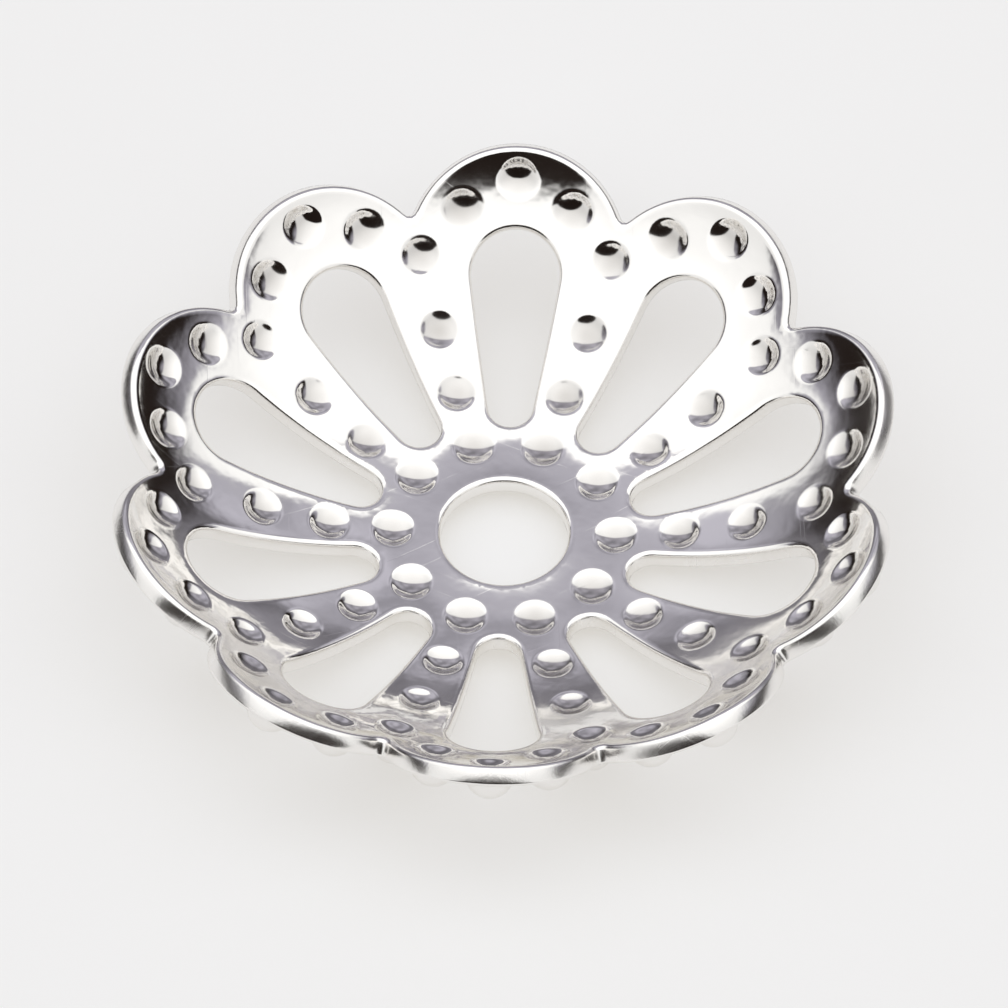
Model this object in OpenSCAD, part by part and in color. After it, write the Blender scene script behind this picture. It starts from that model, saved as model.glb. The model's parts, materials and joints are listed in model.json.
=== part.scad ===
// Round filigree bead cap: one stamped sheet bent to a shallow bowl, with a scalloped rim,
// a centre hole for the stringing wire, a ring of teardrop openings, and small round beads
// embossed outwards, which leave dimples on the inside.
// Units are millimetres. +Z is up along the hole's axis, and the bowl opens upwards.

/* [Sheet] */
// Thickness of the sheet
sheet_t = 0.25; // [0.22:0.01:0.28]
// Radius of the flat hub, where the bowl starts to rise
flat_r = 1.2; // [1.1:0.05:1.3]
// Radius of the bowl's inner curve, in section
bowl_r = 4.8; // [4.6:0.1:5.4]

/* [Outline] */
// Number of petals
petals = 10; // [9:1:10]
// Distance from the axis to a petal's tip, on the inner surface
tip_r = 4.83; // [4.8:0.01:4.9]
// Radius of a petal's rounded end, measured in the sheet
scallop_r = 1.36; // [1.32:0.01:1.4]

/* [Openings] */
// Radius of the centre hole
hole_r = 0.8; // [0.65:0.05:0.9]
// Distance from the axis to a teardrop's narrow end
drop_start = 1.66; // [1.64:0.01:1.7]
// Distance from the axis to a teardrop's wide end
drop_end = 4.06; // [4.0:0.01:4.08]
// Radius of the narrow end
drop_start_r = 0.28; // [0.26:0.01:0.3]
// Radius of the wide end
drop_end_r = 0.555; // [0.5:0.005:0.57]

/* [Beads] */
// Radius of the beads in the hub ring and round the petal tips
rim_bead_r = 0.29; // [0.26:0.01:0.3]
// Radius of the beads along the ribs
rib_bead_r = 0.26; // [0.24:0.01:0.27]
// How far each bead stands out of the sheet
bead_out = 0.2; // [0.16:0.01:0.22]
// Depth of the dimple behind each bead
dimple_depth = 0.2; // [0.16:0.01:0.22]
// Distance from the axis to the hub ring of beads
hub_bead = 1.4; // [1.38:0.01:1.42]
// Distance from the axis to the inner bead of each rib
rib_bead_1 = 2.2; // [2.18:0.01:2.24]
// Distance from the axis to the middle bead of each rib
rib_bead_2 = 3.03; // [2.98:0.01:3.08]
// Distance from the axis to the outer bead of each rib
rib_bead_3 = 3.88; // [3.84:0.01:3.9]
// Distance from the axis to the two side beads of each petal tip
side_bead = 4.28; // [4.26:0.01:4.3]
// Angle from the petal's centre line to a side bead
side_bead_angle = 9.4; // [9.2:0.1:9.5]
// Distance from the axis to the middle bead of each petal tip
tip_bead = 4.55; // [4.53:0.01:4.58]

/* [Hidden] */

round_fn = 96;
bead_fn = 48;
// The profile and the cutters run this far past what they have to reach
spare = 0.3;
sector = 360 / petals;
core_r = tip_r - 0.8;
// The dimple's rim is this much of its bead's radius
dimple_share = 0.93;

// Slope of the sheet, and height of its inner surface above the hub, at radius r
function slope(r) = r <= flat_r ? 0 : asin((r - flat_r) / bowl_r);
function rise(r) = bowl_r * (1 - cos(slope(r)));
// A point on the inner surface at radius r, measured along the tangent at radius at
function along(r, at) = (r - at) * cos(slope(at)) + (rise(r) - rise(at)) * sin(slope(at));

// The sphere of a bead is centred this deep under the inner surface
function bead_depth(r) = sheet_t + bead_out - r;
// The sphere of a dimple: its radius, from the radius of its rim and its depth
function dimple_r(rim) = (rim * rim + dimple_depth * dimple_depth) / (2 * dimple_depth);

// Height of the hub's inner surface, which puts the hub beads' lowest points at zero
hub_z = bead_depth(rim_bead_r) * cos(slope(hub_bead)) + rim_bead_r - rise(hub_bead);

// The frame of the sheet at radius r: origin on the inner surface, +Z along its normal
module on_sheet(r, angle = 0)
    rotate([0, 0, angle])
        translate([r, 0, hub_z + rise(r)])
            rotate([0, -slope(r), 0])
                children();

// Once in each sector, the first petal pointing along +Y
module around()
    for (i = [0 : petals - 1])
        rotate([0, 0, 90 + i * sector])
            children();

module profile() {
    translate([0, -sheet_t])
        square([flat_r, sheet_t]);
    intersection() {
        difference() {
            translate([flat_r, bowl_r])
                circle(r = bowl_r + sheet_t, $fn = 2 * round_fn);
            translate([flat_r, bowl_r])
                circle(r = bowl_r, $fn = 2 * round_fn);
        }
        translate([flat_r, -2 * sheet_t])
            square([tip_r + spare - flat_r, rise(tip_r + spare) + 2 * sheet_t]);
    }
}

module bowl()
    translate([0, 0, hub_z])
        rotate_extrude($fn = round_fn)
            profile();

// Upright in the middle, and square to the sheet at each petal's end
module outline() {
    edge_at = tip_r - spare;
    cylinder(r = core_r, h = hub_z + rise(tip_r), $fn = round_fn);
    around()
        on_sheet(edge_at)
            translate([along(tip_r, edge_at) - scallop_r, 0, -4 * sheet_t])
                cylinder(r = scallop_r, h = 8 * sheet_t, $fn = round_fn);
}

// Two circles joined by their common tangents, pointing to the axis
module teardrop(length) {
    span = length - drop_start_r - drop_end_r;
    tangent = asin((drop_end_r - drop_start_r) / span);
    c = cos(tangent);
    s = sin(tangent);
    translate([drop_start_r, 0]) {
        circle(r = drop_start_r, $fn = round_fn);
        translate([span, 0])
            circle(r = drop_end_r, $fn = round_fn);
        polygon([
            [-drop_start_r * s, drop_start_r * c],
            [-drop_start_r * s, -drop_start_r * c],
            [span - drop_end_r * s, -drop_end_r * c],
            [span - drop_end_r * s, drop_end_r * c],
        ]);
    }
}

module drop_cutter() {
    middle = (drop_start + drop_end) / 2;
    first = along(drop_start, middle);
    on_sheet(middle)
        translate([first, 0, -3 * sheet_t])
            linear_extrude(6 * sheet_t)
                teardrop(along(drop_end, middle) - first);
}

module sheet()
    difference() {
        intersection() {
            bowl();
            outline();
        }
        cylinder(r = hole_r, h = hub_z + sheet_t, $fn = round_fn);
        around()
            drop_cutter();
    }

// One bead, as its sphere
module bead(r, angle, size)
    on_sheet(r, angle)
        translate([0, 0, -bead_depth(size)])
            sphere(r = size, $fn = bead_fn);

// One dimple, as its sphere
module dimple(r, angle, size) {
    ball = dimple_r(dimple_share * size);
    on_sheet(r, angle)
        translate([0, 0, ball - dimple_depth])
            sphere(r = ball, $fn = bead_fn);
}

// Every bead of one sector, as [distance from the axis, angle, radius]
sector_beads = [
    [hub_bead, sector / 2, rim_bead_r],
    [rib_bead_1, sector / 2, rib_bead_r],
    [rib_bead_2, sector / 2, rib_bead_r],
    [rib_bead_3, sector / 2, rib_bead_r],
    [side_bead, side_bead_angle, rim_bead_r],
    [side_bead, -side_bead_angle, rim_bead_r],
    [tip_bead, 0, rim_bead_r],
];

module bead_cap()
    color([0.93, 0.93, 0.92])
        difference() {
            union() {
                sheet();
                around()
                    for (b = sector_beads)
                        bead(b[0], b[1], b[2]);
            }
            around()
                for (b = sector_beads)
                    dimple(b[0], b[1], b[2]);
        }

bead_cap();
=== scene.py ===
"""A round filigree bead cap of silver-plated brass, lying bowl up on pale board.

The cap is one stamped sheet. Its blank is drawn flat, a sector at a time: outline, teardrop
opening and centre hole, filled with triangles that run in rings round each bead. Geometry
Nodes lay the sectors in a ring, press the blank to a bowl and push the beads outwards.
Sizes in the classes are millimetres, and the meshes are metres.
"""

import json
import logging
import math
from dataclasses import dataclass, field
from enum import Enum

import bmesh
import bpy
import numpy as np
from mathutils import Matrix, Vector
from mathutils.geometry import delaunay_2d_cdt

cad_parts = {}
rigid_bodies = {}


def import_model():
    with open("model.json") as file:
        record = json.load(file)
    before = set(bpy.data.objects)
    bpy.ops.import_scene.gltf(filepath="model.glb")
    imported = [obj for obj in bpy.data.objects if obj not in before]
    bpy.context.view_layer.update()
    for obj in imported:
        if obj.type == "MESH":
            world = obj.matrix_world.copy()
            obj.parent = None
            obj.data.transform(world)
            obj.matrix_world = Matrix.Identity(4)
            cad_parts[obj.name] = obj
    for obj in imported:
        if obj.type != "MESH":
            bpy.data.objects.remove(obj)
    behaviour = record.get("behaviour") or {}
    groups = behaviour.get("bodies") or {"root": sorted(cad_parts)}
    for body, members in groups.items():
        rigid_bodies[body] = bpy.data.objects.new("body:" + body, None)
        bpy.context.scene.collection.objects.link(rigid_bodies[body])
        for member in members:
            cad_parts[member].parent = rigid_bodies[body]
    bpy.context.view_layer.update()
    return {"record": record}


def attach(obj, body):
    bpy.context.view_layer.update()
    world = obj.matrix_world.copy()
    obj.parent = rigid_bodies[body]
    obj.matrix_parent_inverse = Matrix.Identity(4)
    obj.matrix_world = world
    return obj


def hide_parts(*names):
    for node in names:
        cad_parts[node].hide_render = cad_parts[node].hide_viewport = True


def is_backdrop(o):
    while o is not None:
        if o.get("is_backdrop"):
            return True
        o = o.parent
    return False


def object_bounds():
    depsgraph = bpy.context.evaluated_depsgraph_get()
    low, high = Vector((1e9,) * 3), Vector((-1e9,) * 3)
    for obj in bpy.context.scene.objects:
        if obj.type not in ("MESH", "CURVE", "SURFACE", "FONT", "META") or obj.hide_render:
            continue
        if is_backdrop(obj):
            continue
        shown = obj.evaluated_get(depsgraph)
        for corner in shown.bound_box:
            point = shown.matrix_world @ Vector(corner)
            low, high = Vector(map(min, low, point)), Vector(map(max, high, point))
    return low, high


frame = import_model()

MM = 0.001
# Millimetres or radians that count as nothing
TINY = 1e-6
LOG = logging.getLogger("bead_cap")

# The kinds of node that the trees use most
MATH = "ShaderNodeMath"
VECTOR = "ShaderNodeVectorMath"
RANGE = "ShaderNodeMapRange"
NOISE = "ShaderNodeTexNoise"
MIX = "ShaderNodeMix"
# Where a mix node takes its two colours, and where it gives their blend
MIX_A, MIX_B, MIX_RESULT = 6, 7, 2

Socket = bpy.types.NodeSocket
Outputs = bpy.types.bpy_prop_collection


class Slot(Enum):
    """The record's material slot names for this object's pieces."""

    SILVER = "silver_plate"


def linear(hex_code: str) -> tuple[float, float, float, float]:
    """Turn an sRGB hex colour into the linear RGBA that a shader socket takes.

    Args:
        hex_code: six hex digits, with or without a leading hash.

    Returns:
        Linear red, green and blue, with an alpha of 1.
    """
    digits = hex_code.lstrip("#")
    channels = [int(digits[i : i + 2], 16) / 255 for i in (0, 2, 4)]
    values = [c / 12.92 if c <= 0.04045 else ((c + 0.055) / 1.055) ** 2.4 for c in channels]
    return (*values, 1.0)


def add_node(tree: bpy.types.NodeTree, kind: str, links: dict | None = None, **settings) -> Outputs:
    """Add one node with its settings, values and links.

    Args:
        tree: the node tree that gets the node.
        kind: the node's type name.
        links: for each input, by name or place, the socket to link or the value to set.
        **settings: the node's own properties.

    Returns:
        The new node's outputs.
    """
    node = tree.nodes.new(kind)
    for name, value in settings.items():
        setattr(node, name, value)
    for key, value in (links or {}).items():
        if isinstance(value, Socket):
            tree.links.new(value, node.inputs[key])
        else:
            node.inputs[key].default_value = value
    return node.outputs


def place_object(name: str, data: bpy.types.ID) -> bpy.types.Object:
    """Put a mesh or a camera in the scene as an object at the origin.

    Args:
        name: the object's name.
        data: the mesh or the camera.

    Returns:
        The object.
    """
    made = bpy.data.objects.new(name, data)
    bpy.context.scene.collection.objects.link(made)
    return made


def clear_tree(owner: bpy.types.Material | bpy.types.World) -> bpy.types.NodeTree:
    """Give a new material or world an empty node tree.

    Args:
        owner: the material or world.

    Returns:
        Its tree.
    """
    owner.use_nodes = True
    owner.node_tree.nodes.clear()
    return owner.node_tree


def new_group(name: str, inputs: dict[str, str], outputs: dict[str, str]) -> bpy.types.NodeTree:
    """Make an empty group of geometry nodes.

    Args:
        name: the group's name.
        inputs: each input's name and kind, without the words that every kind starts with.
        outputs: the same for the outputs.

    Returns:
        The group.
    """
    group = bpy.data.node_groups.new(name, "GeometryNodeTree")
    for way, sockets in (("INPUT", inputs), ("OUTPUT", outputs)):
        for label, kind in sockets.items():
            group.interface.new_socket(label, in_out=way, socket_type=f"NodeSocket{kind}")
    return group


def unit(angle: float) -> np.ndarray:
    """Give the flat unit vector at an angle in radians from the petal's line."""
    return np.array([math.cos(angle), math.sin(angle)])


@dataclass(frozen=True)
class Pressing:
    """The form that the sheet is pressed to: a flat hub, then an arc in section."""

    flat_r: float = 1.2
    bowl_r: float = 4.8
    unroll_steps: int = 12

    def slope(self, r: float) -> float:
        """Give the sheet's slope in radians at a radius seen from above."""
        return 0.0 if r <= self.flat_r else math.asin((r - self.flat_r) / self.bowl_r)

    def reach(self, r: float) -> float:
        """Give the distance from the axis along the sheet for a radius seen from above."""
        return r if r <= self.flat_r else self.flat_r + self.bowl_r * self.slope(r)

    def rise(self, r: float) -> float:
        """Give the sheet's height over the hub at a radius seen from above."""
        return self.bowl_r * (1 - math.cos(self.slope(r)))

    def unroll(self, at: float, along: np.ndarray, across: np.ndarray) -> np.ndarray:
        """Carry points of a tangent plane onto the sheet and unroll them to the flat blank.

        Args:
            at: radius, seen from above, where the plane touches the sheet.
            along: each point's distance up the slope from there.
            across: each point's distance to the side.

        Returns:
            One row of blank x and y for each point.
        """
        slope = self.slope(at)
        start = np.array([at, 0.0, self.rise(at)])
        uphill = np.array([math.cos(slope), 0.0, math.sin(slope)])
        normal = np.array([-math.sin(slope), 0.0, math.cos(slope)])
        flat = start + np.outer(along, uphill) + np.outer(across, [0.0, 1.0, 0.0])
        lift = np.zeros(len(flat))
        for _ in range(self.unroll_steps):
            point = flat + np.outer(lift, normal)
            out = np.hypot(point[:, 0], point[:, 1]) - self.flat_r
            lift += np.hypot(out, point[:, 2] - self.bowl_r) - self.bowl_r
        point = flat + np.outer(lift, normal)
        out = np.hypot(point[:, 0], point[:, 1]) - self.flat_r
        reach = self.flat_r + self.bowl_r * np.arctan2(out, self.bowl_r - point[:, 2])
        turn = np.arctan2(point[:, 1], point[:, 0])
        return np.column_stack([reach * np.cos(turn), reach * np.sin(turn)])


@dataclass(frozen=True)
class BeadSpot:
    """One embossed bead, by where it lies on the cap."""

    distance: float
    angle: float
    radius: float


@dataclass(frozen=True)
class Emboss:
    """How a bead is raised: a ball that meets the sheet in a fillet, outside and inside."""

    height: float = 0.2
    outer_fillet: float = 0.066
    depth: float = 0.082
    inner_share: float = 1.6
    inner_fillet: float = 0.13
    dome_rings: int = 8
    flare_rings: int = 4
    # Points in a ring, for rings under each radius
    ring_points: tuple[tuple[float, int], ...] = ((0.05, 8), (0.12, 16), (math.inf, 32))

    def rings(self, radius: float) -> list[tuple[float, int]]:
        """Choose the rings of points that carry a bead's curve on both sides.

        Args:
            radius: the bead's radius outside.

        Returns:
            The radius of each ring, and how many points it has.
        """
        joint = radius + self.outer_fillet
        foot = math.sqrt(self.height * (2 * joint - self.height))
        steep = math.asin(foot / joint)
        dome = [radius * math.sin(steep * i / self.dome_rings) for i in range(1, self.dome_rings + 1)]
        flare = [
            foot - self.outer_fillet * math.sin(steep * i / self.flare_rings)
            for i in reversed(range(self.flare_rings))
        ]
        return [(r, next(n for limit, n in self.ring_points if r < limit)) for r in dome + flare]


class CutLine:
    """A line along which the sheet is cut, the metal on its left, with the way into the metal."""

    def __init__(self, points: np.ndarray, first: np.ndarray, last: np.ndarray) -> None:
        """Keep the points and work out the way into the metal.

        Args:
            points: blank x and y along the cut.
            first: the way into the metal at the first point.
            last: the way into the metal at the last point.
        """
        tangent = np.gradient(points, axis=0)
        tangent /= np.linalg.norm(tangent, axis=1)[:, None]
        self.points = points
        self.inward = np.column_stack([-tangent[:, 1], tangent[:, 0]])
        self.inward[0] = first
        self.inward[-1] = last

    def row(self, inset: float) -> np.ndarray:
        """Give the line's points moved into the metal by an inset."""
        return self.points + inset * self.inward

    def distance(self, points: np.ndarray) -> np.ndarray:
        """Measure how far points lie from the line.

        Args:
            points: blank x and y of each point.

        Returns:
            Each point's distance to the nearest stretch.
        """
        start, step = self.points[:-1], np.diff(self.points, axis=0)
        offset = points[:, None] - start[None]
        share = np.clip((offset * step[None]).sum(2) / (step**2).sum(1)[None], 0, 1)
        return np.linalg.norm(offset - share[..., None] * step[None], axis=2).min(1)


def resample(points: np.ndarray, spacing: float) -> np.ndarray:
    """Space points evenly along a line, keeping its ends.

    Args:
        points: the line's own points.
        spacing: the distance wanted between points.

    Returns:
        The new points.
    """
    run = np.concatenate([[0.0], np.cumsum(np.linalg.norm(np.diff(points, axis=0), axis=1))])
    places = np.linspace(0.0, run[-1], max(2, round(run[-1] / spacing)) + 1)
    return np.column_stack([np.interp(places, run, points[:, i]) for i in (0, 1)])


def fill_stops(stops: list[float], spacing: float) -> np.ndarray:
    """Add evenly spaced places in the wide gaps between given stops.

    Args:
        stops: places that have to be there, in order.
        spacing: the widest gap wanted.

    Returns:
        All places, in order.
    """
    places = [stops[0]]
    for low, high in zip(stops, stops[1:]):
        steps = max(1, round((high - low) / spacing))
        places += [low + (high - low) * i / steps for i in range(1, steps + 1)]
    return np.array(places)


def within(points: np.ndarray, loop: np.ndarray) -> np.ndarray:
    """Tell which points lie inside a closed loop, by counting crossings.

    Args:
        points: x and y of each point.
        loop: the loop's points, in order.

    Returns:
        True for each point inside.
    """
    ahead = np.roll(loop, -1, axis=0)
    x, y = points[:, None, 0], points[:, None, 1]
    spans = (loop[None, :, 1] > y) != (ahead[None, :, 1] > y)
    rise = np.where(spans, ahead[None, :, 1] - loop[None, :, 1], 1.0)
    cross = loop[None, :, 0] + (y - loop[None, :, 1]) * (ahead[None, :, 0] - loop[None, :, 0]) / rise
    return ((spans & (x < cross)).sum(1) % 2) == 1


@dataclass(frozen=True)
class EdgeForm:
    """The section of a cut edge: rounded, more so inside, and turned up a little."""

    sheet_t: float = 0.25
    inner_round: float = 0.07
    outer_round: float = 0.035
    curl_width: float = 0.3
    curl_height: float = 0.015
    inner_steps: int = 4
    outer_steps: int = 3

    def section(self) -> list[tuple[float, float]]:
        """Give the section from the inner face to the outer one.

        Returns:
            Each point's inset from the cut and its depth under the inner face.
        """
        inner = [
            (self.inner_round * (1 - math.sin(a)), self.inner_round * (1 - math.cos(a)))
            for a in np.linspace(0, math.pi / 2, self.inner_steps + 1)
        ]
        outer = [
            (self.outer_round * (1 - math.cos(a)), self.sheet_t - self.outer_round * (1 - math.sin(a)))
            for a in np.linspace(0, math.pi / 2, self.outer_steps + 1)
        ]
        return inner + outer


@dataclass
class SectorBlank:
    """The flat blank of one petal sector, from its rib line to the next."""

    pressing: Pressing
    emboss: Emboss
    edge: EdgeForm
    sector: float
    hole_r: float
    beads: tuple[BeadSpot, ...]
    tip_r: float = 4.83
    scallop_r: float = 1.36
    scallop_plane: float = 4.53
    scallop_sweep: float = math.radians(110)
    notch_round: float = 0.1
    drop_start: float = 1.66
    drop_end: float = 4.06
    drop_start_r: float = 0.28
    drop_end_r: float = 0.555
    # Rows of points beside each cut, past its rounding, and the spacing of the even field
    contours: tuple[float, ...] = (0.035, 0.08, 0.13)
    spacing: float = 0.056
    # Points that the curves are first drawn with: petal end, notch, teardrop's two ends
    scallop_points: int = 400
    notch_points: int = 24
    drop_points: tuple[int, int] = (60, 80)
    # For rings, rows and the field: the least distance to the points there already, and to a
    # bead's foot, in spacings
    clearances: tuple[tuple[float, float], ...] = ((0.34, 0.0), (0.4, 0.45), (0.68, 0.7))
    # Points nearer than this are one, and triangles under twice this area are left out
    merge_gap: float = 1e-7
    least_area: float = 1e-8

    def __post_init__(self) -> None:
        """Draw the three cut lines of the half sector."""
        self.cuts = {"hole": self.hole_line(), "drop": self.teardrop(), "rim": self.outline()}

    def hole_line(self) -> CutLine:
        """Draw the centre hole's edge, from the rib line to the petal's line.

        Returns:
            The cut line.
        """
        count = max(2, round(self.hole_r * self.sector / 2 / self.spacing)) + 1
        turns = np.linspace(self.sector / 2, 0.0, count)
        points = self.hole_r * np.column_stack([np.cos(turns), np.sin(turns)])
        return CutLine(points, unit(self.sector / 2), unit(0.0))

    def tangent_place(self, r: float, at: float) -> float:
        """Find how far up the tangent plane at one radius the sheet at another lies.

        Args:
            r: radius, seen from above, of the place that is sought.
            at: radius where the plane touches the sheet.

        Returns:
            The distance along the plane.
        """
        slope = self.pressing.slope(at)
        lift = self.pressing.rise(r) - self.pressing.rise(at)
        return (r - at) * math.cos(slope) + lift * math.sin(slope)

    def outline(self) -> CutLine:
        """Draw the rim from the petal's tip to the notch, which is rounded.

        Returns:
            The cut line.
        """
        centre = self.tangent_place(self.tip_r, self.scallop_plane) - self.scallop_r
        turns = np.linspace(0.0, self.scallop_sweep, self.scallop_points)
        scallop = self.pressing.unroll(
            self.scallop_plane, centre + self.scallop_r * np.cos(turns), self.scallop_r * np.sin(turns)
        )
        rim = CutLine(scallop, -unit(0.0), -unit(0.0))
        outside = rim.row(-self.notch_round)
        past = np.arctan2(outside[:, 1], outside[:, 0]) - self.sector / 2
        last = int(np.argmax(past > 0))
        share = -past[last - 1] / (past[last] - past[last - 1])
        notch = outside[last - 1] + share * (outside[last] - outside[last - 1])
        touch = scallop[last - 1] + share * (scallop[last] - scallop[last - 1])
        begin = math.atan2(*(touch - notch)[::-1]) % (2 * math.pi)
        sweep = np.linspace(begin, self.sector / 2 + math.pi, self.notch_points)[1:]
        fillet = notch + self.notch_round * np.column_stack([np.cos(sweep), np.sin(sweep)])
        points = resample(np.vstack([scallop[:last], touch, fillet]), self.spacing)
        return CutLine(points, -unit(0.0), -unit(self.sector / 2))

    def teardrop(self) -> CutLine:
        """Draw one side of the teardrop opening, from its narrow end to its wide end.

        Returns:
            The cut line.
        """
        middle = (self.drop_start + self.drop_end) / 2
        first, last = (self.tangent_place(r, middle) for r in (self.drop_start, self.drop_end))
        span = last - first - self.drop_start_r - self.drop_end_r
        tangent = math.asin((self.drop_end_r - self.drop_start_r) / span)
        narrow = np.linspace(math.pi, math.pi / 2 + tangent, self.drop_points[0])
        wide = np.linspace(math.pi / 2 + tangent, 0.0, self.drop_points[1])
        along = np.concatenate([self.drop_start_r * np.cos(narrow), span + self.drop_end_r * np.cos(wide)])
        across = np.concatenate([self.drop_start_r * np.sin(narrow), self.drop_end_r * np.sin(wide)])
        points = self.pressing.unroll(middle, first + self.drop_start_r + along, across)
        return CutLine(resample(points, self.spacing), -unit(0.0), unit(0.0))

    def ring_points(self, spot: BeadSpot) -> np.ndarray:
        """Lay a bead's centre and its rings of points on the blank, round once pressed.

        Args:
            spot: the bead.

        Returns:
            Blank x and y of each point.
        """
        places = [(0.0, 0.0)]
        for ring, count in self.emboss.rings(spot.radius):
            places += [
                (ring * math.cos(2 * math.pi * i / count), ring * math.sin(2 * math.pi * i / count))
                for i in range(count)
            ]
        points = []
        for up, side in places:
            distance = self.pressing.reach(spot.distance) + up
            slope = max(0.0, distance - self.pressing.flat_r) / self.pressing.bowl_r
            radius = min(distance, self.pressing.flat_r) + self.pressing.bowl_r * math.sin(slope)
            points.append(distance * unit(spot.angle + side / radius))
        return np.array(points)

    def line_stops(self, low: float, high: float, angle: float) -> np.ndarray:
        """Choose places along a sector line, with the rings that cross it.

        Args:
            low: where the line starts, from the axis.
            high: where it ends.
            angle: the line's angle.

        Returns:
            Blank x and y of each place, ends included.
        """
        stops = {low, high}
        clear = 0.5 * self.spacing
        for spot in self.beads:
            if abs(spot.angle - angle) > TINY:
                continue
            reach = self.pressing.reach(spot.distance)
            rings = [0.0] + [r for r, _ in self.emboss.rings(spot.radius)]
            crossings = {reach + side * r for r in rings for side in (-1, 1)}
            stops |= {place for place in crossings if low + clear < place < high - clear}
        return np.outer(fill_stops(sorted(stops), self.spacing), unit(angle))

    def face(self) -> tuple[np.ndarray, list[tuple[int, ...]], dict[str, np.ndarray]]:
        """Fill half of the sector's inner face with triangles.

        Returns:
            The points, the triangles, and for each cut line the points along it.
        """
        rows = {name: cut.row(self.edge.inner_round) for name, cut in self.cuts.items()}
        half = self.sector / 2
        inner = self.line_stops(rows["hole"][-1][0], rows["drop"][0][0], 0.0)
        outer = self.line_stops(rows["drop"][-1][0], rows["rim"][0][0], 0.0)
        ends = [float(np.linalg.norm(point)) for point in (rows["hole"][0], rows["rim"][-1])]
        rib = self.line_stops(*ends, half)
        chain = [line[:-1] for line in (inner, rows["drop"], outer, rows["rim"], rib[::-1], rows["hole"])]
        loop = np.vstack(chain)
        starts = np.cumsum([0] + [len(part) for part in chain])
        ids = {
            "drop": np.arange(starts[1], starts[2] + 1),
            "rim": np.arange(starts[3], starts[4] + 1),
            "hole": np.append(np.arange(starts[5], starts[6]), 0),
        }
        insets = [self.edge.inner_round + step for step in self.contours]
        lines = [cut.row(inset) for cut in self.cuts.values() for inset in insets]
        points = np.vstack([loop, self.inside_points(loop, np.vstack(lines))])
        edges = [(i, (i + 1) % len(loop)) for i in range(len(loop))]
        corners = [Vector(p) for p in points]
        found, _, triangles, origins, _, _ = delaunay_2d_cdt(corners, edges, [], 0, self.merge_gap, True)
        if len(found) != len(points):
            raise ValueError("the blank's points cross or meet")
        place = np.array([origin[0] for origin in origins])
        faces = place[np.array(triangles)]
        a, b, c = (points[faces[:, i]] for i in range(3))
        area = (b - a)[:, 0] * (c - a)[:, 1] - (b - a)[:, 1] * (c - a)[:, 0]
        kept = faces[within((a + b + c) / 3, loop) & (np.abs(area) > self.least_area)]
        return points, [tuple(map(int, t)) for t in kept], ids

    def inside_points(self, loop: np.ndarray, contours: np.ndarray) -> np.ndarray:
        """Scatter the points inside a boundary: rings, rows along the cuts, then an even field.

        Args:
            loop: the boundary's points, in order.
            contours: points of the rows that follow the cut lines.

        Returns:
            The points that lie clear of the boundary.
        """
        centres = np.array([self.pressing.reach(b.distance) * unit(b.angle) for b in self.beads])
        feet = np.array([self.emboss.rings(b.radius)[-1][0] for b in self.beads])
        row = self.spacing * math.sqrt(3) / 2
        low, high = loop.min(0), loop.max(0)
        even = np.array(
            [
                (low[0] + (i + 0.5 * (j % 2)) * self.spacing, low[1] + j * row)
                for j in range(int((high[1] - low[1]) / row) + 1)
                for i in range(int((high[0] - low[0]) / self.spacing) + 1)
            ]
        )
        rings = np.vstack([self.ring_points(b) for b in self.beads])
        kept = loop
        for group, (clear, apart) in zip((rings, contours, even), self.clearances):
            gaps = np.linalg.norm(group[:, None] - centres[None], axis=2) - feet[None]
            group = group[(gaps.min(1) > apart * self.spacing) | (apart == 0.0)]
            turn = np.arctan2(group[:, 1], group[:, 0])
            group = group[(turn > TINY) & (turn < self.sector / 2 - TINY)]
            near = np.linalg.norm(group[:, None] - kept[None], axis=2).min(1)
            group = group[(near > clear * self.spacing) & within(group, loop)]
            kept = np.vstack([kept, group])
        return kept[len(loop) :]

    def mesh(self) -> bpy.types.Mesh:
        """Build the sector's flat sheet: both faces and the rounded cut edges.

        Returns:
            A mesh in metres, open at its sector lines. The attribute inner_share is 1 on the
            inner face and 0 on the outer one, and edge_gap is the distance to the nearest cut.
        """
        points, faces, ids = self.face()
        section = self.edge.section()
        top = np.column_stack([points, np.zeros(len(points))])
        under = np.column_stack([points, np.full(len(points), -self.edge.sheet_t)])
        for name, cut in self.cuts.items():
            under[ids[name], :2] = cut.row(section[-1][0])
        solid = [top, under]
        polygons = faces + [tuple(i + len(points) for i in reversed(f)) for f in faces]
        count = 2 * len(points)
        for name, cut in self.cuts.items():
            rows = [ids[name]]
            for inset, depth in section[1:-1]:
                line = cut.row(inset)
                solid.append(np.column_stack([line, np.full(len(line), -depth)]))
                rows.append(np.arange(count, count + len(line)))
                count += len(line)
            rows.append(ids[name] + len(points))
            for above, below in zip(rows, rows[1:]):
                polygons += [(above[i], below[i], below[i + 1], above[i + 1]) for i in range(len(above) - 1)]
        half = np.vstack(solid)
        mirrored = half * [1.0, -1.0, 1.0]
        both = [tuple(map(int, p)) for p in polygons]
        both += [tuple(len(half) + i for i in reversed(p)) for p in both]
        mesh = bpy.data.meshes.new("sector_blank")
        mesh.from_pydata((np.vstack([half, mirrored]) * MM).tolist(), [], both)
        share = 1 + half[:, 2] / self.edge.sheet_t
        gap = np.min([cut.distance(half[:, :2]) for cut in self.cuts.values()], axis=0) * MM
        for name, values in (("inner_share", share), ("edge_gap", gap)):
            layer = mesh.attributes.new(name, "FLOAT", "POINT")
            layer.data.foreach_set("value", np.tile(values, 2).astype(np.float32))
        return mesh


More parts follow.
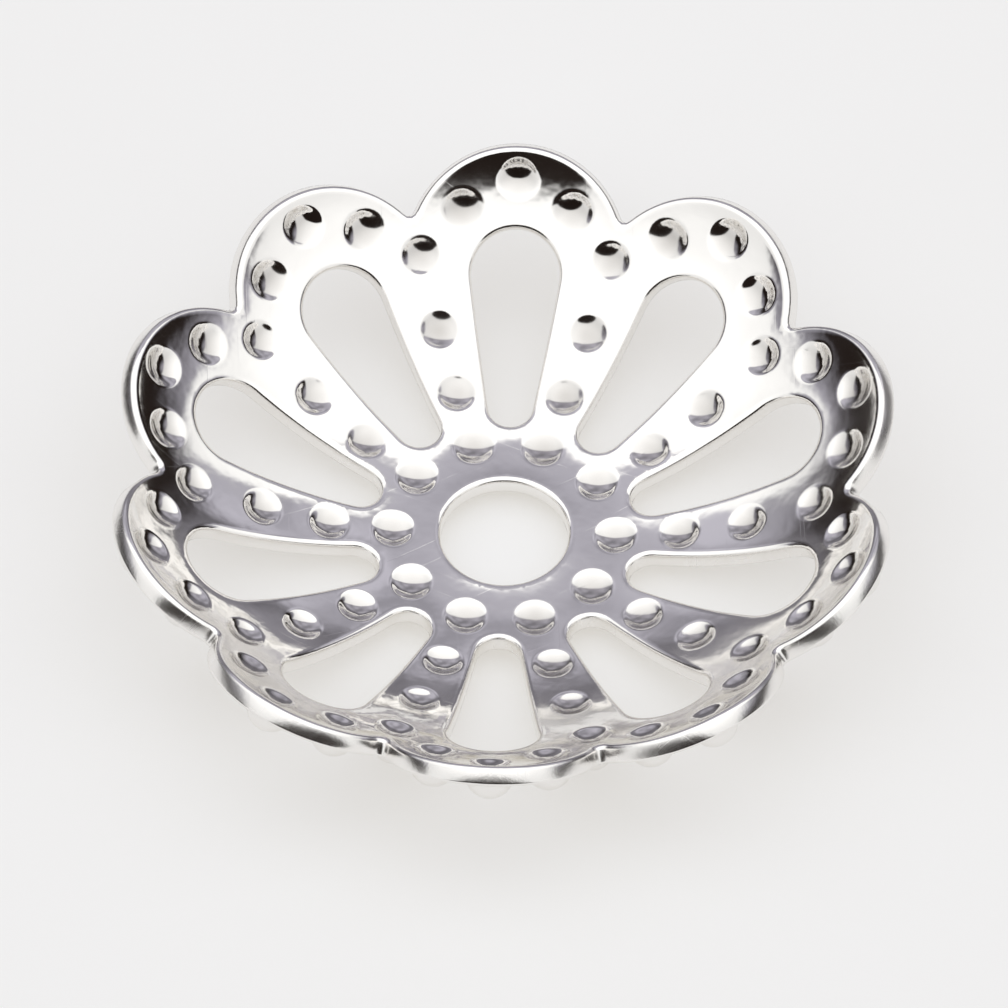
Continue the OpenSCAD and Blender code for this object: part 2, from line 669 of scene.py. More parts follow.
class PressTree:
    """The Geometry Nodes tree that turns one sector's blank into the whole pressed cap."""

    INPUTS = {
        "Geometry": "Geometry",
        "Petals": "Int",
        "Flat Radius": "Float",
        "Bowl Radius": "Float",
        "Hub Height": "Float",
        "Bead Height": "Float",
        "Dimple Depth": "Float",
        "Inner Share": "Float",
        "Outer Fillet": "Float",
        "Inner Fillet": "Float",
        "Curl Width": "Float",
        "Curl Height": "Float",
        "Bead Scatter": "Float",
        "Unevenness": "Float",
        "Warp Scale": "Float",
        "Warp Start": "Float",
        "Warp End": "Float",
        "Seed": "Int",
        "Beads": "Object",
        "Finish": "Material",
    }
    # Points of neighbouring sectors that are nearer than this, in metres, become one
    WELD = 1e-6
    # The noise values that stand for the full warp down and up
    WARP_NOISE = (0.25, 0.75)

    def __init__(self) -> None:
        """Build the tree, and the two groups that it uses."""
        self.tree = new_group("Press bead cap", self.INPUTS, {"Geometry": "Geometry"})
        self.given = add_node(self.tree, "NodeGroupInput")
        self.ids = {socket.name: socket.identifier for socket in self.given}
        self.wire(self.press_group(), self.dome_group())

    @staticmethod
    def press_group() -> bpy.types.NodeTree:
        """Make the group that carries a blank point onto the bowl.

        Returns:
            The group, which gives the point on the inner face and the normal there.
        """
        sizes = dict.fromkeys(("Flat Radius", "Bowl Radius", "Hub Height"), "Float")
        results = dict.fromkeys(("Point", "Normal"), "Vector")
        tree = new_group("Press point", {"Position": "Vector", **sizes}, results)
        given = add_node(tree, "NodeGroupInput")
        flat_r, bowl_r = given["Flat Radius"], given["Bowl Radius"]
        flat = add_node(tree, VECTOR, {0: given["Position"], 1: (1, 1, 0)}, operation="MULTIPLY")[0]
        reach = add_node(tree, VECTOR, {0: flat}, operation="LENGTH")["Value"]
        out = add_node(tree, VECTOR, {0: flat}, operation="NORMALIZE")[0]
        past = add_node(tree, MATH, {0: reach, 1: flat_r}, operation="SUBTRACT")[0]
        bent = add_node(tree, MATH, {0: past, 1: 0.0}, operation="MAXIMUM")[0]
        slope = add_node(tree, MATH, {0: bent, 1: bowl_r}, operation="DIVIDE")[0]
        sine = add_node(tree, MATH, {0: slope}, operation="SINE")[0]
        cosine = add_node(tree, MATH, {0: slope}, operation="COSINE")[0]
        level = add_node(tree, MATH, {0: reach, 1: flat_r}, operation="MINIMUM")[0]
        radius = add_node(tree, MATH, {0: sine, 1: bowl_r, 2: level}, operation="MULTIPLY_ADD")[0]
        drop = add_node(tree, MATH, {0: 1.0, 1: cosine}, operation="SUBTRACT")[0]
        height = add_node(
            tree, MATH, {0: drop, 1: bowl_r, 2: given["Hub Height"]}, operation="MULTIPLY_ADD"
        )[0]
        rise = add_node(tree, "ShaderNodeCombineXYZ", {"Z": height})[0]
        side = add_node(tree, VECTOR, {0: out, "Scale": radius}, operation="SCALE")[0]
        point = add_node(tree, VECTOR, {0: side, 1: rise}, operation="ADD")[0]
        lean = add_node(tree, VECTOR, {0: out, "Scale": sine}, operation="SCALE")[0]
        upright = add_node(tree, "ShaderNodeCombineXYZ", {"Z": cosine})[0]
        normal = add_node(tree, VECTOR, {0: upright, 1: lean}, operation="SUBTRACT")[0]
        add_node(tree, "NodeGroupOutput", {"Point": point, "Normal": normal})
        return tree

    @staticmethod
    def dome_group() -> bpy.types.NodeTree:
        """Make the group that gives a filleted ball's height at a distance from its centre.

        Returns:
            The group, with a ball radius, a fillet radius and the full height.
        """
        names = ("Distance", "Ball", "Fillet", "Height")
        tree = new_group("Bead height", dict.fromkeys(names, "Float"), {"Push": "Float"})
        given = add_node(tree, "NodeGroupInput")
        distance, ball, fillet, full = (given[name] for name in names)
        joint = add_node(tree, MATH, {0: ball, 1: fillet}, operation="ADD")[0]
        twice = add_node(tree, MATH, {0: joint, 1: 2.0}, operation="MULTIPLY")[0]
        less = add_node(tree, MATH, {0: twice, 1: full}, operation="SUBTRACT")[0]
        square = add_node(tree, MATH, {0: less, 1: full}, operation="MULTIPLY")[0]
        foot = add_node(tree, MATH, {0: square}, operation="SQRT")[0]
        share = add_node(tree, MATH, {0: ball, 1: joint}, operation="DIVIDE")[0]
        meet = add_node(tree, MATH, {0: foot, 1: share}, operation="MULTIPLY")[0]
        sunk = add_node(tree, MATH, {0: ball, 1: full}, operation="SUBTRACT")[0]
        gap = add_node(tree, MATH, {0: foot, 1: distance}, operation="SUBTRACT")[0]
        beside = add_node(tree, MATH, {0: gap, 1: 0.0}, operation="MAXIMUM")[0]
        heights = []
        for radius, offset in ((ball, distance), (fillet, beside)):
            whole = add_node(tree, MATH, {0: radius, 1: 2.0}, operation="POWER")[0]
            part = add_node(tree, MATH, {0: offset, 1: 2.0}, operation="POWER")[0]
            rest = add_node(tree, MATH, {0: whole, 1: part}, operation="SUBTRACT")[0]
            heights.append(add_node(tree, MATH, {0: rest}, operation="SQRT")[0])
        dome = add_node(tree, MATH, {0: heights[0], 1: sunk}, operation="SUBTRACT")[0]
        flare = add_node(tree, MATH, {0: fillet, 1: heights[1]}, operation="SUBTRACT")[0]
        near = add_node(tree, MATH, {0: distance, 1: meet}, operation="LESS_THAN")[0]
        push = add_node(
            tree, "GeometryNodeSwitch", {"Switch": near, "False": flare, "True": dome}, input_type="FLOAT"
        )[0]
        add_node(tree, "NodeGroupOutput", {"Push": push})
        return tree

    def ring(self, geometry: Socket) -> Socket:
        """Lay a geometry round the axis, once for each petal, the first one along +Y.

        Args:
            geometry: what is laid round.

        Returns:
            The realized ring.
        """
        tree, petals = self.tree, self.given["Petals"]
        points = add_node(tree, "GeometryNodePoints", {"Count": petals})[0]
        index = add_node(tree, "GeometryNodeInputIndex")[0]
        step = add_node(tree, MATH, {0: 2 * math.pi, 1: petals}, operation="DIVIDE")[0]
        turn = add_node(tree, MATH, {0: index, 1: step, 2: math.pi / 2}, operation="MULTIPLY_ADD")[0]
        spin = add_node(tree, "FunctionNodeAxisAngleToRotation", {"Axis": (0, 0, 1), "Angle": turn})[0]
        laid = add_node(
            tree, "GeometryNodeInstanceOnPoints", {"Points": points, "Instance": geometry, "Rotation": spin}
        )[0]
        return add_node(tree, "GeometryNodeRealizeInstances", {0: laid})[0]

    def spots(self, point: Socket) -> Socket:
        """Lay every bead's centre on the bowl, each a little off its place.

        Args:
            point: where the bowl carries each point.

        Returns:
            The centres, as points that keep bead_radius.
        """
        tree, given = self.tree, self.given
        loose = add_node(tree, "GeometryNodeObjectInfo", {"Object": given["Beads"]})["Geometry"]
        spread = add_node(
            tree,
            "FunctionNodeRandomValue",
            {0: (-1, -1, 0), 1: (1, 1, 0), "Seed": given["Seed"]},
            data_type="FLOAT_VECTOR",
        )[0]
        shift = add_node(tree, VECTOR, {0: spread, "Scale": given["Bead Scatter"]}, operation="SCALE")[0]
        links = {"Geometry": self.ring(loose), "Position": point, "Offset": shift}
        return add_node(tree, "GeometryNodeSetPosition", links)[0]

    def pushes(self, spots: Socket, point: Socket, dome: bpy.types.NodeTree) -> list[Socket]:
        """Work out how far the nearest bead pushes the sheet out.

        Args:
            spots: the beads' centres.
            point: where the bowl carries each point.
            dome: the group that gives a bead's height.

        Returns:
            The push on the outer face, and on the inner one.
        """
        tree, given = self.tree, self.given
        place = add_node(tree, "GeometryNodeInputPosition")[0]
        size = add_node(
            tree, "GeometryNodeInputNamedAttribute", {"Name": "bead_radius"}, data_type="FLOAT"
        )[0]
        nearest = add_node(
            tree, "GeometryNodeSampleNearest", {"Geometry": spots, "Sample Position": point}
        )[0]
        centre, radius = (
            add_node(
                tree,
                "GeometryNodeSampleIndex",
                {"Geometry": spots, "Value": value, "Index": nearest},
                data_type=kind,
            )[0]
            for kind, value in (("FLOAT_VECTOR", place), ("FLOAT", size))
        )
        gap = add_node(tree, VECTOR, {0: point, 1: centre}, operation="DISTANCE")["Value"]
        ball = add_node(tree, MATH, {0: radius, 1: given["Inner Share"]}, operation="MULTIPLY")[0]
        return [
            add_node(
                tree,
                "GeometryNodeGroup",
                {"Distance": gap, "Ball": size, "Fillet": given[fillet], "Height": given[height]},
                node_tree=dome,
            )[0]
            for size, fillet, height in (
                (radius, "Outer Fillet", "Bead Height"),
                (ball, "Inner Fillet", "Dimple Depth"),
            )
        ]

    def curl(self, along: Socket) -> Socket:
        """Turn the sheet up a little beside each cut.

        Args:
            along: each point's height over the inner face.

        Returns:
            The new height.
        """
        tree, given = self.tree, self.given
        gap = add_node(tree, "GeometryNodeInputNamedAttribute", {"Name": "edge_gap"}, data_type="FLOAT")[0]
        near = add_node(
            tree, RANGE, {"Value": gap, "From Max": given["Curl Width"], "To Min": 1.0, "To Max": 0.0}
        )[0]
        curve = add_node(tree, MATH, {0: near, 1: 2.0}, operation="POWER")[0]
        links = {0: curve, 1: given["Curl Height"], 2: along}
        return add_node(tree, MATH, links, operation="MULTIPLY_ADD")[0]

    def warp(self, along: Socket, here: Socket, point: Socket) -> Socket:
        """Warp the sheet slightly, more towards the rim, as stamping leaves it.

        Args:
            along: each point's height over the inner face.
            here: its place on the blank.
            point: where the bowl carries it.

        Returns:
            The new height.
        """
        tree, given = self.tree, self.given
        links = {"Vector": point, "W": given["Seed"], "Scale": given["Warp Scale"]}
        links |= {"Detail": 2.0, "Roughness": 0.35}
        noise = add_node(tree, NOISE, links, noise_dimensions="4D")[0]
        low, high = self.WARP_NOISE
        links = {"Value": noise, "From Min": low, "From Max": high, "To Min": -1.0, "To Max": 1.0}
        swing = add_node(tree, RANGE, links)[0]
        reach = add_node(tree, VECTOR, {0: here}, operation="LENGTH")["Value"]
        free = add_node(
            tree,
            RANGE,
            {"Value": reach, "From Min": given["Warp Start"], "From Max": given["Warp End"]},
            interpolation_type="SMOOTHSTEP",
        )[0]
        bend = add_node(tree, MATH, {0: swing, 1: free}, operation="MULTIPLY")[0]
        links = {0: bend, 1: given["Unevenness"], 2: along}
        return add_node(tree, MATH, links, operation="MULTIPLY_ADD")[0]

    def wire(self, press: bpy.types.NodeTree, dome: bpy.types.NodeTree) -> None:
        """Wire the tree: lay round, weld, press, emboss, curl, warp, smooth and finish.

        Args:
            press: the group that carries a blank point onto the bowl.
            dome: the group that gives a bead's height.
        """
        tree, given = self.tree, self.given
        here = add_node(tree, "GeometryNodeInputPosition")[0]
        bowl = {name: given[name] for name in ("Flat Radius", "Bowl Radius", "Hub Height")}
        pressed = add_node(tree, "GeometryNodeGroup", {"Position": here, **bowl}, node_tree=press)
        outer, inner = self.pushes(self.spots(pressed["Point"]), pressed["Point"], dome)
        share = add_node(
            tree, "GeometryNodeInputNamedAttribute", {"Name": "inner_share"}, data_type="FLOAT"
        )[0]
        push = add_node(tree, MIX, {0: share, 2: outer, 3: inner}, data_type="FLOAT")[0]
        depth = add_node(tree, "ShaderNodeSeparateXYZ", {0: here})["Z"]
        along = add_node(tree, MATH, {0: depth, 1: push}, operation="SUBTRACT")[0]
        along = self.warp(self.curl(along), here, pressed["Point"])
        offset = add_node(tree, VECTOR, {0: pressed["Normal"], "Scale": along}, operation="SCALE")[0]
        # How deep each point lies in its dimple, from 0 to 1; the plating lays its painted shade by it
        recess = add_node(tree, MATH, {0: inner, 1: given["Dimple Depth"]}, operation="DIVIDE")[0]
        sheet = self.ring(given["Geometry"])
        for kind, links in (
            ("GeometryNodeMergeByDistance", {"Distance": self.WELD}),
            ("GeometryNodeStoreNamedAttribute", {"Name": "recess", "Value": recess}),
            ("GeometryNodeSetPosition", {"Position": pressed["Point"], "Offset": offset}),
            ("GeometryNodeSetShadeSmooth", {}),
            ("GeometryNodeSetMaterial", {"Material": given["Finish"]}),
        ):
            sheet = add_node(tree, kind, {"Geometry": sheet, **links})[0]
        add_node(tree, "NodeGroupOutput", {"Geometry": sheet})


@dataclass(frozen=True)
class SilverPlate:
    """Bright silver plating over stamped brass.

    The eye gets near-white metal with soft ripples, a haze that comes and goes, faint
    hairline marks from tumbling, painted shade in the dimples (a grey that deepens towards
    their bottoms where the haze is), and fine streaks on the cut edges. The hairlines are
    drawn a little wider than real ones, so that they show.
    """

    colour: str = "#F1EFEC"
    # Painted shade: the grey laid towards the bottoms of the dimples
    painted_dimple_shade: str = "#9D9893"
    edge_tint: str = "#F4F2EF"
    smooth: float = 0.05
    hazy: float = 0.17
    hair_rough: float = 0.06
    wall_rough: float = 0.13
    haze_mm: float = 2.2
    haze_limits: tuple[float, float] = (0.35, 0.7)
    ripple_mm: float = 0.9
    ripple_deep_mm: float = 0.022
    peel_mm: float = 0.16
    peel_deep_mm: float = 0.0022
    hair_mm: tuple[float, float] = (1.1, 0.022)
    hair_deep_mm: float = 0.0003
    hair_turns: tuple[float, ...] = (0.4, 1.5, 2.6)
    hair_shift: float = 10.0
    hair_limits: tuple[float, float] = (0.78, 0.9)
    streak_mm: float = 0.035
    streak_deep_mm: float = 0.0007
    # How far from the sheet's middle the cut wall ends and the rounding begins
    wall_limits: tuple[float, float] = (0.42, 0.30)

    def material(self) -> bpy.types.Material:
        """Build the plating's material.

        Returns:
            The material.
        """
        made = bpy.data.materials.new("Bright silver plate on stamped brass")
        tree = clear_tree(made)
        place = add_node(tree, "ShaderNodeTexCoord")["Object"]
        haze = add_node(
            tree, NOISE, {"Vector": place, "Scale": 1 / (self.haze_mm * MM), "Detail": 3.0, "Roughness": 0.6}
        )[0]
        low, high = self.haze_limits
        rough = add_node(
            tree,
            RANGE,
            {"Value": haze, "From Min": low, "From Max": high, "To Min": self.smooth, "To Max": self.hazy},
        )[0]
        share = add_node(tree, "ShaderNodeAttribute", attribute_name="inner_share")["Fac"]
        wall = self.cut_wall(tree, share)
        hair = self.hairlines(tree, place)
        for marks, extra in ((hair, self.hair_rough), (wall, self.wall_rough)):
            rough = add_node(tree, MATH, {0: marks, 1: extra, 2: rough}, operation="MULTIPLY_ADD")[0]
        shader = add_node(
            tree,
            "ShaderNodeBsdfPrincipled",
            {
                "Base Color": self.tone(tree, haze, share, wall),
                "Metallic": 1.0,
                "Roughness": rough,
                "Normal": self.relief(tree, place, hair, wall),
            },
        )[0]
        add_node(tree, "ShaderNodeOutputMaterial", {"Surface": shader})
        return made

    def cut_wall(self, tree: bpy.types.NodeTree, share: Socket) -> Socket:
        """Find the cut edges, which lie between the two faces.

        Args:
            tree: the material's tree.
            share: 1 on the inner face and 0 on the outer one.

        Returns:
            1 on the cut edges and 0 on the faces.
        """
        off_middle = add_node(tree, MATH, {0: share, 1: 0.5}, operation="SUBTRACT")[0]
        size = add_node(tree, MATH, {0: off_middle}, operation="ABSOLUTE")[0]
        far, near = self.wall_limits
        links = {"Value": size, "From Min": far, "From Max": near}
        return add_node(tree, RANGE, links, interpolation_type="SMOOTHSTEP")[0]

    def hairlines(self, tree: bpy.types.NodeTree, place: Socket) -> Socket:
        """Draw short, fine marks that run a few ways.

        Args:
            tree: the material's tree.
            place: where each point lies on the piece.

        Returns:
            1 on a mark and 0 beside it.
        """
        hair = 0.0
        long, thin = (1 / (size * MM) for size in self.hair_mm)
        low, high = self.hair_limits
        for turn in self.hair_turns:
            laid = add_node(tree, "ShaderNodeMapping", {"Vector": place, "Rotation": (0.0, 0.0, turn)})[0]
            drawn = add_node(
                tree,
                "ShaderNodeMapping",
                {"Vector": laid, "Location": (self.hair_shift * turn, 0.0, 0.0), "Scale": (long, thin, long)},
            )[0]
            lines = add_node(tree, NOISE, {"Vector": drawn, "Scale": 1.0, "Detail": 0.0})[0]
            marks = add_node(
                tree,
                RANGE,
                {"Value": lines, "From Min": low, "From Max": high},
                interpolation_type="SMOOTHSTEP",
            )[0]
            hair = add_node(tree, MATH, {0: hair, 1: marks}, operation="MAXIMUM")[0]
        return hair

    def tone(self, tree: bpy.types.NodeTree, haze: Socket, share: Socket, wall: Socket) -> Socket:
        """Colour the plating: bright, with painted shade, a grey towards the bottoms of the dimples where
        they are hazy.

        Args:
            tree: the material's tree.
            haze: the haze's strength.
            share: 1 on the inner face and 0 on the outer one.
            wall: 1 on the cut edges.

        Returns:
            The colour.
        """
        # Painted shade: grey that deepens towards the bottom of each dimple on the inner face, where the haze
        # is
        painted_shade = add_node(tree, "ShaderNodeAttribute", attribute_name="recess")["Fac"]
        for factor in (haze, share):
            painted_shade = add_node(tree, MATH, {0: painted_shade, 1: factor}, operation="MULTIPLY")[0]
        colour = linear(self.colour)
        for amount, other in ((painted_shade, self.painted_dimple_shade), (wall, self.edge_tint)):
            links = {0: amount, MIX_A: colour, MIX_B: linear(other)}
            colour = add_node(tree, MIX, links, data_type="RGBA")[MIX_RESULT]
        return colour

    def relief(self, tree: bpy.types.NodeTree, place: Socket, hair: Socket, wall: Socket) -> Socket:
        """Add up the fine relief: soft ripples, peel, hairlines and streaks on the cut edges.

        Args:
            tree: the material's tree.
            place: where each point lies on the piece.
            hair: 1 on a hairline mark.
            wall: 1 on the cut edges.

        Returns:
            The normal.
        """
        ripple, peel, streak = (
            add_node(
                tree,
                NOISE,
                {"Vector": place, "Scale": 1 / (size_mm * MM), "Detail": 1.0},
                noise_dimensions=dimensions,
            )[0]
            for size_mm, dimensions in ((self.ripple_mm, "3D"), (self.peel_mm, "3D"), (self.streak_mm, "2D"))
        )
        streak = add_node(tree, MATH, {0: streak, 1: wall}, operation="MULTIPLY")[0]
        height = 0.0
        for part, deep_mm in (
            (ripple, self.ripple_deep_mm),
            (peel, self.peel_deep_mm),
            (hair, -self.hair_deep_mm),
            (streak, self.streak_deep_mm),
        ):
            height = add_node(tree, MATH, {0: part, 1: deep_mm * MM, 2: height}, operation="MULTIPLY_ADD")[0]
        return add_node(tree, "ShaderNodeBump", {"Height": height, "Strength": 1.0, "Distance": 1.0})[0]


@dataclass
class BeadCap:
    """The stamped bead cap: its sizes, its blank, its pressing and its finish."""

    hole_r: float
    hub_z: float
    petals: int = 10
    rim_bead_r: float = 0.29
    rib_bead_r: float = 0.26
    hub_bead: float = 1.4
    rib_beads: tuple[float, ...] = (2.2, 3.03, 3.88)
    side_bead: float = 4.28
    side_bead_angle: float = 9.4
    tip_bead: float = 4.55
    bead_scatter: float = 0.008
    unevenness: float = 0.02
    warp_scale: float = 320.0
    warp_from: float = 1.8
    warp_full: float = 5.0
    seed: int = 7
    pressing: Pressing = field(default_factory=Pressing)
    emboss: Emboss = field(default_factory=Emboss)
    edge: EdgeForm = field(default_factory=EdgeForm)
    finish: SilverPlate = field(default_factory=SilverPlate)

    @property
    def sector(self) -> float:
        """Give the angle that one petal takes, in radians."""
        return 2 * math.pi / self.petals

    def half_beads(self) -> tuple[BeadSpot, ...]:
        """List the beads on and between a petal's line and the next rib line.

        Returns:
            The beads, from the hub outwards.
        """
        rib = self.sector / 2
        return (
            BeadSpot(self.hub_bead, rib, self.rim_bead_r),
            *(BeadSpot(r, rib, self.rib_bead_r) for r in self.rib_beads),
            BeadSpot(self.side_bead, math.radians(self.side_bead_angle), self.rim_bead_r),
            BeadSpot(self.tip_bead, 0.0, self.rim_bead_r),
        )

    def bead_points(self) -> bpy.types.Object:
        """Make one sector's bead centres as loose points on the blank.

        Returns:
            An object with the attribute bead_radius.
        """
        spots = list(self.half_beads())
        between = [s for s in spots if 0 < s.angle < self.sector / 2 - TINY]
        spots += [BeadSpot(s.distance, -s.angle, s.radius) for s in between]
        mesh = bpy.data.meshes.new("bead_points")
        places = [self.pressing.reach(s.distance) * unit(s.angle) for s in spots]
        mesh.from_pydata([(p[0] * MM, p[1] * MM, 0.0) for p in places], [], [])
        layer = mesh.attributes.new("bead_radius", "FLOAT", "POINT")
        layer.data.foreach_set("value", [s.radius * MM for s in spots])
        return place_object("bead_points", mesh)

    def build(self) -> bpy.types.Object:
        """Build the cap as one plain mesh, riding on the object's body.

        Returns:
            The finished piece.
        """
        beads = self.half_beads()
        blank = SectorBlank(self.pressing, self.emboss, self.edge, self.sector, self.hole_r, beads)
        source = place_object("blank", blank.mesh())
        points = self.bead_points()
        press = PressTree()
        modifier = source.modifiers.new("press", "NODES")
        modifier.node_group = press.tree
        values = {
            "Petals": self.petals,
            "Flat Radius": self.pressing.flat_r * MM,
            "Bowl Radius": self.pressing.bowl_r * MM,
            "Hub Height": self.hub_z * MM,
            "Bead Height": self.emboss.height * MM,
            "Dimple Depth": self.emboss.depth * MM,
            "Inner Share": self.emboss.inner_share,
            "Outer Fillet": self.emboss.outer_fillet * MM,
            "Inner Fillet": self.emboss.inner_fillet * MM,
            "Curl Width": self.edge.curl_width * MM,
            "Curl Height": self.edge.curl_height * MM,
            "Bead Scatter": self.bead_scatter * MM,
            "Unevenness": self.unevenness * MM,
            "Warp Scale": self.warp_scale,
            "Warp Start": self.warp_from * MM,
            "Warp End": self.warp_full * MM,
            "Seed": self.seed,
            "Beads": points,
            "Finish": self.finish.material(),
        }
        for name, value in values.items():
            modifier[press.ids[name]] = value
        depsgraph = bpy.context.evaluated_depsgraph_get()
        mesh = bpy.data.meshes.new_from_object(source.evaluated_get(depsgraph), depsgraph=depsgraph)
        mesh.name = "silver_bead_cap"
        cap = place_object("silver_bead_cap", mesh)
        for helper in (source, points):
            bpy.data.objects.remove(helper)
        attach(cap, "root")
        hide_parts("bead_cap")
        return cap


@dataclass(frozen=True)
class MattBoard:
    """Matt board that glows by itself, with no lamp under it: painted light that keeps it even white, with
    soft shade that is faintly warm.

    Its colour is cool and its painted glow warm, so it is neutral in the open and warm where shade falls on
    it.
    """

    colour: str = "#ACB1BA"
    painted_glow_colour: str = "#FFF8EB"
    roughness: float = 0.9
    # Painted glow: light that the board gives off by itself, with no lamp under it, which lightens its shade
    glow: float = 0.48

    def material(self) -> bpy.types.Material:
        """Build the board's material.

        Returns:
            The material.
        """
        made = bpy.data.materials.new("Matt off-white board")
        tree = clear_tree(made)
        # The painted glow goes in as the board's emission
        links = {
            "Base Color": linear(self.colour),
            "Roughness": self.roughness,
            "Emission Color": linear(self.painted_glow_colour),
            "Emission Strength": self.glow,
        }
        shader = add_node(tree, "ShaderNodeBsdfPrincipled", links)[0]
        add_node(tree, "ShaderNodeOutputMaterial", {"Surface": shader})
        return made


@dataclass(frozen=True)
class LightTent:
    """A light tent seen from inside: a bright panel overhead, grey cloth round it, open in front.

    It is drawn on the sphere of directions. The panel's sizes are x and y of a direction, and
    the cloth's are degrees over the floor, and limits of y for its front and back.
    """

    panel_level: float = 0.94
    panel_core: float = 0.44
    core_from: float = 0.3
    panel_half: tuple[float, float] = (0.87, 0.62)
    panel_splay: float = 0.15
    panel_shift: float = -0.125
    panel_blur: float = 0.03
    walls: str = "#B3B1BC"
    room: str = "#231C19"
    side_low: float = 12.0
    side_high: float = 30.0
    front_limits: tuple[float, float] = (-0.82, -0.6)
    back_limits: tuple[float, float] = (0.6, 0.9)
    back_share: float = 0.45
    fold_scale: float = 3.5
    fold_noise: tuple[float, float] = (0.3, 0.7)
    fold_shade: tuple[float, float] = (0.72, 1.28)

    def panel_mask(self, tree: bpy.types.NodeTree, parts: dict[str, Socket]) -> Socket:
        """Mark the panel, a soft-edged trapezium overhead.

        Args:
            tree: the world's tree.
            parts: the direction's x, y and z.

        Returns:
            1 on the panel and 0 beside it.
        """
        gaps = []
        for part, middle, half in zip("XY", (0.0, self.panel_shift), self.panel_half):
            off = add_node(tree, MATH, {0: parts[part], 1: middle}, operation="SUBTRACT")[0]
            size = add_node(tree, MATH, {0: off}, operation="ABSOLUTE")[0]
            gaps.append(add_node(tree, MATH, {0: size, 1: half}, operation="SUBTRACT")[0])
        links = {0: parts["Y"], 1: self.panel_splay, 2: gaps[0]}
        splay = add_node(tree, MATH, links, operation="MULTIPLY_ADD")[0]
        gap = add_node(tree, MATH, {0: splay, 1: gaps[1]}, operation="MAXIMUM")[0]
        inside = add_node(
            tree,
            RANGE,
            {"Value": gap, "From Min": self.panel_blur, "From Max": -self.panel_blur},
            interpolation_type="SMOOTHSTEP",
        )[0]
        above = add_node(tree, MATH, {0: parts["Z"], 1: 0.0}, operation="GREATER_THAN")[0]
        return add_node(tree, MATH, {0: inside, 1: above}, operation="MULTIPLY")[0]

    def cloth_mask(self, tree: bpy.types.NodeTree, way: Socket, high: Socket) -> Socket:
        """Mark the cloth: from a little over the floor at the sides, and dimly at the back.

        Args:
            tree: the world's tree.
            way: the direction.
            high: the direction's z.

        Returns:
            How much of the cloth's shade each direction gets.
        """
        flat = add_node(tree, VECTOR, {0: way, 1: (1, 1, 0)}, operation="MULTIPLY")[0]
        flat = add_node(tree, VECTOR, {0: flat}, operation="NORMALIZE")[0]
        facing = add_node(tree, "ShaderNodeSeparateXYZ", {0: flat})["Y"]
        heights = [math.sin(math.radians(angle)) for angle in (self.side_low, self.side_high)]
        rise, sides, back = (
            add_node(
                tree,
                RANGE,
                {"Value": value, "From Min": low, "From Max": high_limit, "To Max": share},
                interpolation_type="SMOOTHSTEP",
            )[0]
            for value, (low, high_limit), share in (
                (high, heights, 1.0),
                (facing, self.front_limits, 1.0),
                (facing, self.back_limits, self.back_share),
            )
        )
        rise = add_node(tree, MATH, {0: rise, 1: sides}, operation="MULTIPLY")[0]
        return add_node(tree, MATH, {0: rise, 1: back}, operation="MAXIMUM")[0]

    def world(self) -> bpy.types.World:
        """Build the tent as the world, so that nothing stands in the way of any view.

        Returns:
            The world.
        """
        world = bpy.data.worlds.new("Light tent")
        tree = clear_tree(world)
        way = add_node(tree, "ShaderNodeTexCoord")["Generated"]
        parts = add_node(tree, "ShaderNodeSeparateXYZ", {0: way})
        folds = add_node(tree, NOISE, {"Vector": way, "Scale": self.fold_scale, "Detail": 0.0})[0]
        links = {"Value": folds, "From Min": self.fold_noise[0], "From Max": self.fold_noise[1]}
        links |= {"To Min": self.fold_shade[0], "To Max": self.fold_shade[1]}
        shade = add_node(tree, RANGE, links)[0]
        cloth = add_node(tree, VECTOR, {0: linear(self.walls)[:3], "Scale": shade}, operation="SCALE")[0]
        cloth_share = self.cloth_mask(tree, way, parts["Z"])
        links = {0: cloth_share, MIX_A: linear(self.room), MIX_B: cloth}
        around = add_node(tree, MIX, links, data_type="RGBA")[MIX_RESULT]
        links = {"Value": parts["Z"], "From Min": self.core_from}
        links |= {"To Min": self.panel_level, "To Max": self.panel_level + self.panel_core}
        core = add_node(tree, RANGE, links, interpolation_type="SMOOTHSTEP")[0]
        panel = add_node(tree, VECTOR, {0: (1, 1, 1), "Scale": core}, operation="SCALE")[0]
        links = {0: self.panel_mask(tree, parts), MIX_A: around, MIX_B: panel}
        light = add_node(tree, MIX, links, data_type="RGBA")[MIX_RESULT]
        glow = add_node(tree, "ShaderNodeBackground", {"Color": light, "Strength": 1.0})[0]
        add_node(tree, "ShaderNodeOutputWorld", {"Surface": glow})
        return world


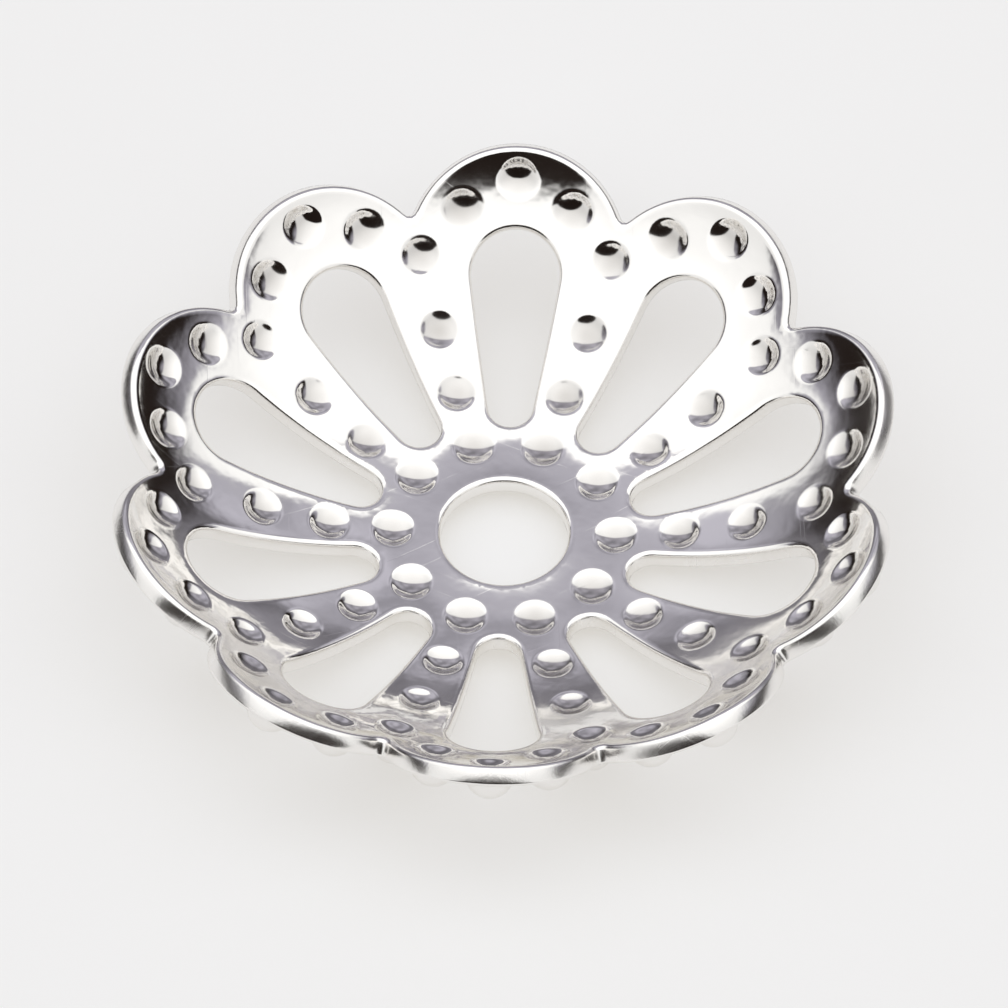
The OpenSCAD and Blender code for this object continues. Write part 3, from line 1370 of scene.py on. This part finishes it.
@dataclass
class Studio:
    """The pale floor, the light tent and the camera."""

    floor_r: float = 300.0
    floor_sides: int = 96
    board: MattBoard = field(default_factory=MattBoard)
    tent: LightTent = field(default_factory=LightTent)
    azimuth: float = 2.2
    elevation: float = 53.2
    distance: float = 250.0
    frame_width: float = 12.6
    # Nearest and farthest that the camera sees, in metres
    clip_m: tuple[float, float] = (0.01, 10.0)

    def floor(self) -> bpy.types.Object:
        """Lay the round board that the cap rests on.

        Returns:
            The floor.
        """
        mesh = bpy.data.meshes.new("floor")
        rim = bmesh.new()
        bmesh.ops.create_circle(rim, cap_ends=True, segments=self.floor_sides, radius=self.floor_r * MM)
        rim.to_mesh(mesh)
        rim.free()
        mesh.materials.append(self.board.material())
        made = place_object("floor", mesh)
        made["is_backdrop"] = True
        return made

    def camera(self) -> bpy.types.Object:
        """Aim the camera at the cap from the viewing angle, with a long lens.

        Returns:
            The camera.
        """
        low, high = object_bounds()
        target = (low + high) / 2
        az, el = math.radians(self.azimuth), math.radians(self.elevation)
        back = Vector((math.sin(az) * math.cos(el), -math.cos(az) * math.cos(el), math.sin(el)))
        data = bpy.data.cameras.new("camera")
        data.lens = data.sensor_width * self.distance / self.frame_width
        data.clip_start, data.clip_end = self.clip_m
        made = place_object("camera", data)
        made.location = target + back * self.distance * MM
        made.rotation_euler = (-back).to_track_quat("-Z", "Y").to_euler()
        bpy.context.scene.camera = made
        return made

    def build(self) -> None:
        """Set up the floor, the light and the camera, and show colours as they are."""
        self.floor()
        self.camera()
        bpy.context.scene.world = self.tent.world()
        bpy.context.scene.view_settings.view_transform = "Standard"


def report(piece: bpy.types.Object) -> None:
    """Log a piece's size, and whether its surface is closed.

    Args:
        piece: a mesh object.
    """
    form = bmesh.new()
    form.from_mesh(piece.data)
    open_edges = sum(1 for e in form.edges if len(e.link_faces) != 2)
    triangles = sum(len(f.verts) - 2 for f in form.faces)
    volume = form.calc_volume(signed=True) / MM**3
    form.free()
    LOG.info("%s: %d triangles, %d open edges, %.2f mm3", piece.name, triangles, open_edges, volume)


def main() -> None:
    """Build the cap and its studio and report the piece."""
    logging.basicConfig(level=logging.INFO, format="%(name)s: %(message)s")
    mount = frame["record"]["mounts"][0]
    hole = mount["dims"]
    hub_z = mount["pos_m"][2] / MM + hole["length_mm"] / 2
    report(BeadCap(hole_r=hole["r_mm"], hub_z=hub_z).build())
    Studio().build()


if __name__ == "__main__":
    main()
